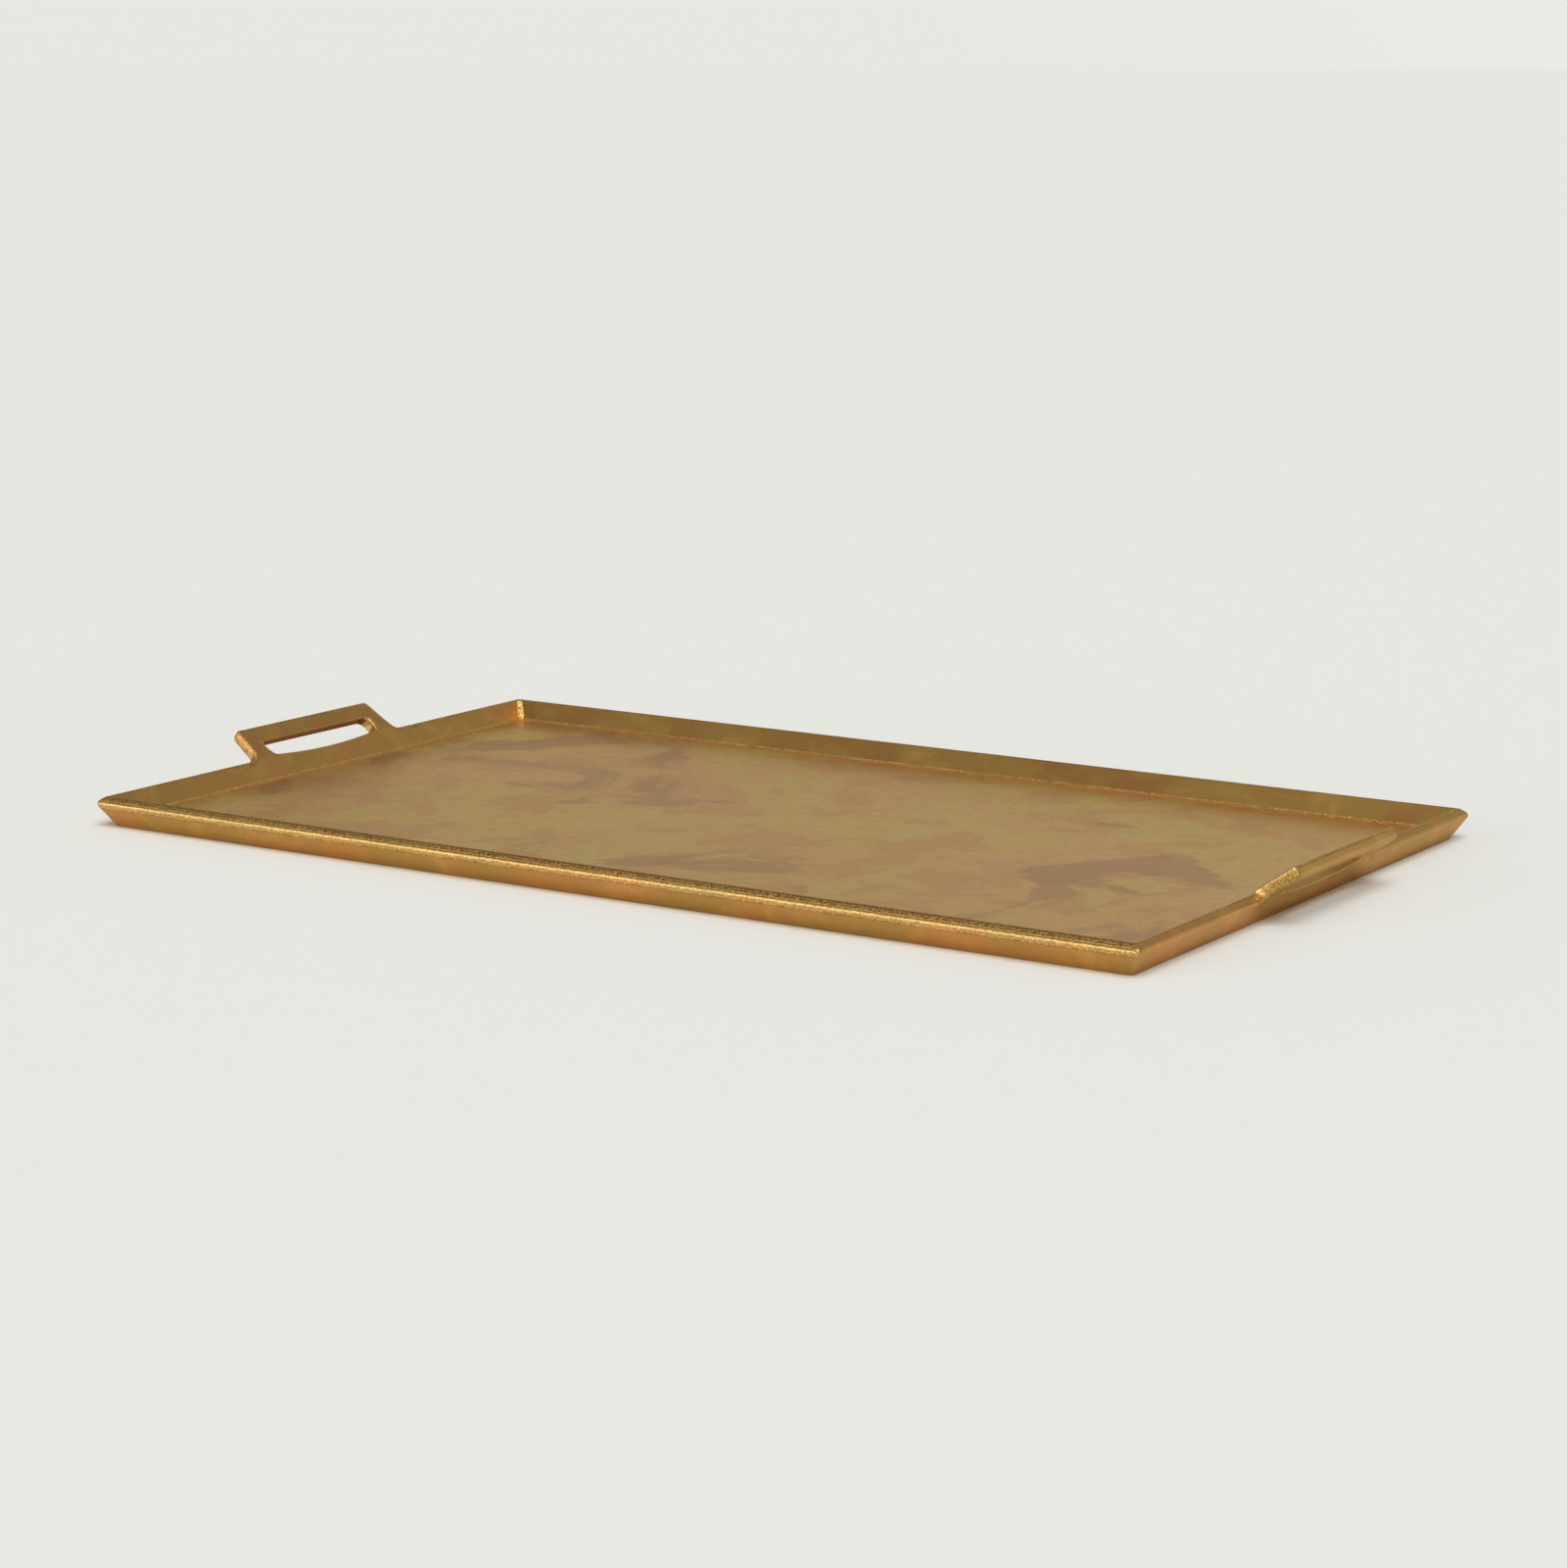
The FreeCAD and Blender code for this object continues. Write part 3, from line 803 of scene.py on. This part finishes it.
def cast_brass():
    """Satin castings: faint olive and brown patches, sandy rim edges, edges rubbed bright that also carry
    a painted highlight, and painted shade on the slot's top edge.
    """
    n = Nodes("cast_brass")
    wear_and_painted_light = n.attribute("wear_and_painted_light")
    clouds = n.grain(17, 5, 0.55, warp=0.6)
    grit = n.grain(720, 3, 0.7)
    fine = n.grain(3200, 2, 0.6)
    colour = n.mix(n.range(clouds, 0.42, 0.60), CAST_OLIVE, CAST_BROWN)
    warm = n.math("MULTIPLY", n.range(n.grain(41, 5, 0.65, warp=0.9), 0.48, 0.66), 0.45)
    colour = n.mix(warm, colour, CAST_GOLD)
    colour = n.mix(n.math("MULTIPLY", n.range(fine, 0.45, 0.75), 0.30), colour, DARK_PATINA)
    sandy = n.math("MULTIPLY", n.range(wear_and_painted_light, 0.03, 0.12), n.range(wear_and_painted_light, 0.15, 0.40, 1.0, 0.25))
    pits = n.math("MULTIPLY", sandy, n.range(grit, 0.40, 0.56, 0.75, 0.0))
    colour = n.mix(pits, colour, DARK_PATINA)
    # Edges rubbed bright: real wear, and a painted highlight
    rubbed_and_highlight = n.math("MULTIPLY", wear_and_painted_light, n.range(grit, 0.40, 0.60, 0.35, 1.0))
    colour = n.mix(n.range(rubbed_and_highlight, 0.0, 1.0), colour, RUBBED_BRASS_AND_HIGHLIGHT)
    # Painted shade: dark red on the slot's downward-facing top edge
    colour = n.mix(n.range(wear_and_painted_light, -0.9, -0.1, 0.95, 0.0), colour, SLOT_PAINTED_SHADE_RED)
    satin = n.range(clouds, 0.35, 0.65, 0.40, 0.33)
    roughness = n.math("SUBTRACT", satin, n.math("MULTIPLY", rubbed_and_highlight, 0.12))
    coarse = n.math("MULTIPLY", grit, n.math("MAXIMUM", sandy, 0.12))
    normal = n.bump(fine, 0.00004, 0.6, n.bump(coarse, 0.0009, 0.9))
    return n.finish(colour, roughness, normal, CAST_EDGE)


def sheet_brass():
    """The floor: ragged olive, tan, rose and mauve-brown patches, finely streaked."""
    n = Nodes("sheet_brass")
    patches = n.grain(9.5, 9, 0.62, warp=0.5)
    blotches = n.grain(8, 10, 0.58, warp=0.9)
    streaks = n.grain(150, 6, 0.72)
    grit = n.grain(1500, 2, 0.6)
    colour = n.mix(n.range(patches, 0.46, 0.54), SHEET_OLIVE, SHEET_TAN)
    rose = n.math("MULTIPLY", n.range(n.grain(17, 8, 0.64, warp=0.5), 0.50, 0.56), 0.7)
    colour = n.mix(rose, colour, SHEET_ROSE)
    colour = n.mix(n.math("MULTIPLY", n.range(blotches, 0.56, 0.62), 0.65), colour, SHEET_MAUVE)
    colour = n.mix(n.math("MULTIPLY", n.range(streaks, 0.45, 0.70), 0.34), colour, SHEET_MAUVE)
    roughness = n.range(patches, 0.3, 0.7, 0.50, 0.42)
    normal = n.bump(grit, 0.00003, 0.35, n.bump(streaks, 0.00005, 0.30))
    return n.finish(colour, roughness, normal, SHEET_EDGE)


def braze_filler():
    """Filler that was run in and dressed: grainy, dull along the floor, with a painted highlight up the
    beads towards the walls and in the corners.
    """
    n = Nodes("braze_filler")
    wear_and_painted_light = n.attribute("wear_and_painted_light")
    grit = n.grain(800, 3, 0.65)
    lumps = n.grain(260, 3, 0.6)
    dull = n.mix(n.range(grit, 0.40, 0.62), CAST_BROWN, CAST_GOLD)
    dull = n.mix(n.math("MULTIPLY", n.range(lumps, 0.5, 0.7), 0.2), dull, DARK_PATINA)
    # Painted highlight: bright sparkling filler colour up the beads and in the corners
    painted_highlight = n.mix(n.range(grit, 0.36, 0.50), FILLER_DARK, FILLER_HIGHLIGHT_BRASS)
    colour = n.mix(n.range(wear_and_painted_light, 0.05, 0.32), dull, painted_highlight)
    roughness = n.range(grit, 0.35, 0.65, 0.42, 0.28)
    normal = n.bump(lumps, 0.0003, 0.6, n.bump(grit, 0.0009, 1.0))
    return n.finish(colour, roughness, normal, CAST_EDGE)


def backdrop_paper():
    """Plain pale seamless paper with a barely visible grain."""
    n = Nodes("backdrop_paper")
    grain = n.grain(900, 2, 0.5)
    colour = n.mix(n.range(grain, 0.3, 0.7, 0.0, 0.04), PAPER, PAPER_GRAIN)
    n.shader.inputs["Roughness"].default_value = 0.9
    n.shader.inputs["Specular IOR Level"].default_value = 0.1
    n.link(colour, n.shader.inputs["Base Color"])
    return n.material


def attach(piece, material, slot, *nodes):
    piece.data.materials.append(material)
    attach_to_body(piece, "root")
    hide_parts(*nodes)


def build_tray():
    cast = cast_brass()
    sheet = sheet_brass()
    filler = braze_filler()
    attach(slab("floor_sheet"), sheet, "sheet_brass", "floor_plate")
    attach(long_rail("rail_front", 0), cast, "cast_brass", "front_rail")
    attach(end_rail("rail_right", 1), cast, "cast_brass", "right_handle_rail")
    attach(long_rail("rail_back", 2), cast, "cast_brass", "back_rail")
    attach(end_rail("rail_left", 3), cast, "cast_brass", "left_handle_rail")
    spans = ((HALF_LENGTH, HALF_WIDTH), (HALF_WIDTH, HALF_LENGTH))
    for turn, side in enumerate(("front", "right", "back", "left")):
        bead = seam_bead(f"bead_{side}", *spans[turn % 2], turn)
        attach(bead, filler, "braze_filler", f"seam_braze_{side}")
    for depth_name, across in (("front", -1), ("back", 1)):
        for side_name, side in (("left", -1), ("right", 1)):
            corner = f"{depth_name}_{side_name}"
            piece = corner_fillet(f"filler_{corner}", side, across)
            attach(piece, filler, "braze_filler", f"corner_braze_{corner}")


# Stage: level paper that runs on so far that no edge shows, under an even sky
PAPER_DROP = 0.0001
PAPER_RADIUS = 60.0
PAPER_SIDES = 64
SKY_COLOUR = (0.99, 1.0, 0.955, 1)
SKY_LEVELS = ((0.0, 0.80), (0.05, 0.80), (0.20, 0.64), (0.40, 0.38),
              (0.62, 0.09), (0.85, 0.36), (1.0, 0.55))
# Brighter parts of the studio: direction, reach as the cosine of its angle, and how much is added
GLOWS = (((-0.52, -0.84, 0.12), 0.88, 2.2),
         ((0.10, 0.85, 0.50), 0.68, 0.18))
KEY_FROM = (0.36, -0.36, 0.86)
KEY_STRENGTH = 1.8
KEY_SPREAD = math.radians(45)
KEY_COLOUR = (1.0, 0.99, 0.95)


def build_paper():
    turns = [2 * math.pi * k / PAPER_SIDES for k in range(PAPER_SIDES)]
    rim = [(PAPER_RADIUS * math.cos(a), PAPER_RADIUS * math.sin(a), -PAPER_DROP) for a in turns]
    mesh = bpy.data.meshes.new("paper")
    faces = [(0, 1 + k, 1 + (k + 1) % PAPER_SIDES) for k in range(PAPER_SIDES)]
    mesh.from_pydata([(0, 0, -PAPER_DROP)] + rim, [], faces)
    paper = bpy.data.objects.new("paper", mesh)
    bpy.context.scene.collection.objects.link(paper)
    mesh.materials.append(backdrop_paper())


def add_glow(nodes, links, direction, total, glow):
    """The sky's strength with one brighter part added to it."""
    toward, reach, strength = glow
    facing = nodes.new("ShaderNodeVectorMath")
    facing.operation = "DOT_PRODUCT"
    facing.inputs[1].default_value = Vector(toward).normalized()
    links.new(direction, facing.inputs[0])
    falloff = nodes.new("ShaderNodeMapRange")
    falloff.interpolation_type = "SMOOTHSTEP"
    for key, number in (("From Min", reach), ("From Max", 1), ("To Min", 0), ("To Max", strength)):
        falloff.inputs[key].default_value = number
    links.new(facing.outputs["Value"], falloff.inputs["Value"])
    brighter = nodes.new("ShaderNodeMath")
    links.new(total, brighter.inputs[0])
    links.new(falloff.outputs["Result"], brighter.inputs[1])
    return brighter.outputs["Value"]


def build_sky():
    """A plain studio: pale near the ground, dimmer overhead, with one low bright wall."""
    world = bpy.data.worlds.new("studio")
    world.use_nodes = True
    nodes, links = world.node_tree.nodes, world.node_tree.links
    direction = nodes.new("ShaderNodeTexCoord").outputs["Generated"]
    split = nodes.new("ShaderNodeSeparateXYZ")
    links.new(direction, split.inputs["Vector"])
    levels = nodes.new("ShaderNodeValToRGB")
    links.new(split.outputs["Z"], levels.inputs["Fac"])
    stops = levels.color_ramp.elements
    for index, (up, level) in enumerate(SKY_LEVELS):
        stop = stops[index] if index < 2 else stops.new(up)
        stop.position = up
        stop.color = (level, level, level, 1)
    total = levels.outputs["Color"]
    for glow in GLOWS:
        total = add_glow(nodes, links, direction, total, glow)
    links.new(total, nodes["Background"].inputs["Strength"])
    nodes["Background"].inputs["Color"].default_value = SKY_COLOUR
    bpy.context.scene.world = world


def build_key():
    data = bpy.data.lights.new("key", "SUN")
    data.energy = KEY_STRENGTH
    data.angle = KEY_SPREAD
    data.color = KEY_COLOUR
    lamp = bpy.data.objects.new("key", data)
    lamp.rotation_euler = (-Vector(KEY_FROM)).to_track_quat("-Z", "Y").to_euler()
    bpy.context.scene.collection.objects.link(lamp)


# The camera's place, from the middle of the base
VIEW_AZIMUTH = math.radians(32.475)
VIEW_ELEVATION = math.radians(10.963)
VIEW_ROLL = math.radians(0.222)
VIEW_DISTANCE = 2.0286
VIEW_RIGHT = 0.001991
VIEW_UP = 0.025271
LENS = 88.92
SENSOR_WIDTH = 36
CLIP_END = 50


def build_camera():
    level = math.cos(VIEW_ELEVATION)
    back = Vector((math.sin(VIEW_AZIMUTH) * level, -math.cos(VIEW_AZIMUTH) * level,
                   math.sin(VIEW_ELEVATION)))
    right = (-back).cross(Vector((0, 0, 1))).normalized()
    up = right.cross(-back)
    right, up = (math.cos(VIEW_ROLL) * right + math.sin(VIEW_ROLL) * up,
                 -math.sin(VIEW_ROLL) * right + math.cos(VIEW_ROLL) * up)
    spin = Matrix((right, up, back)).transposed()
    place_at = back * VIEW_DISTANCE + right * VIEW_RIGHT + up * VIEW_UP
    data = bpy.data.cameras.new("camera")
    data.lens = LENS
    data.sensor_width = SENSOR_WIDTH
    data.sensor_fit = "HORIZONTAL"
    data.clip_end = CLIP_END
    camera = bpy.data.objects.new("camera", data)
    camera.matrix_world = Matrix.Translation(place_at) @ spin.to_4x4()
    bpy.context.scene.collection.objects.link(camera)
    bpy.context.scene.camera = camera


noise.seed_set(WAVER_SEED)
build_camera()
build_tray()
build_paper()
build_sky()
build_key()
bpy.context.scene.view_settings.view_transform = "Standard"
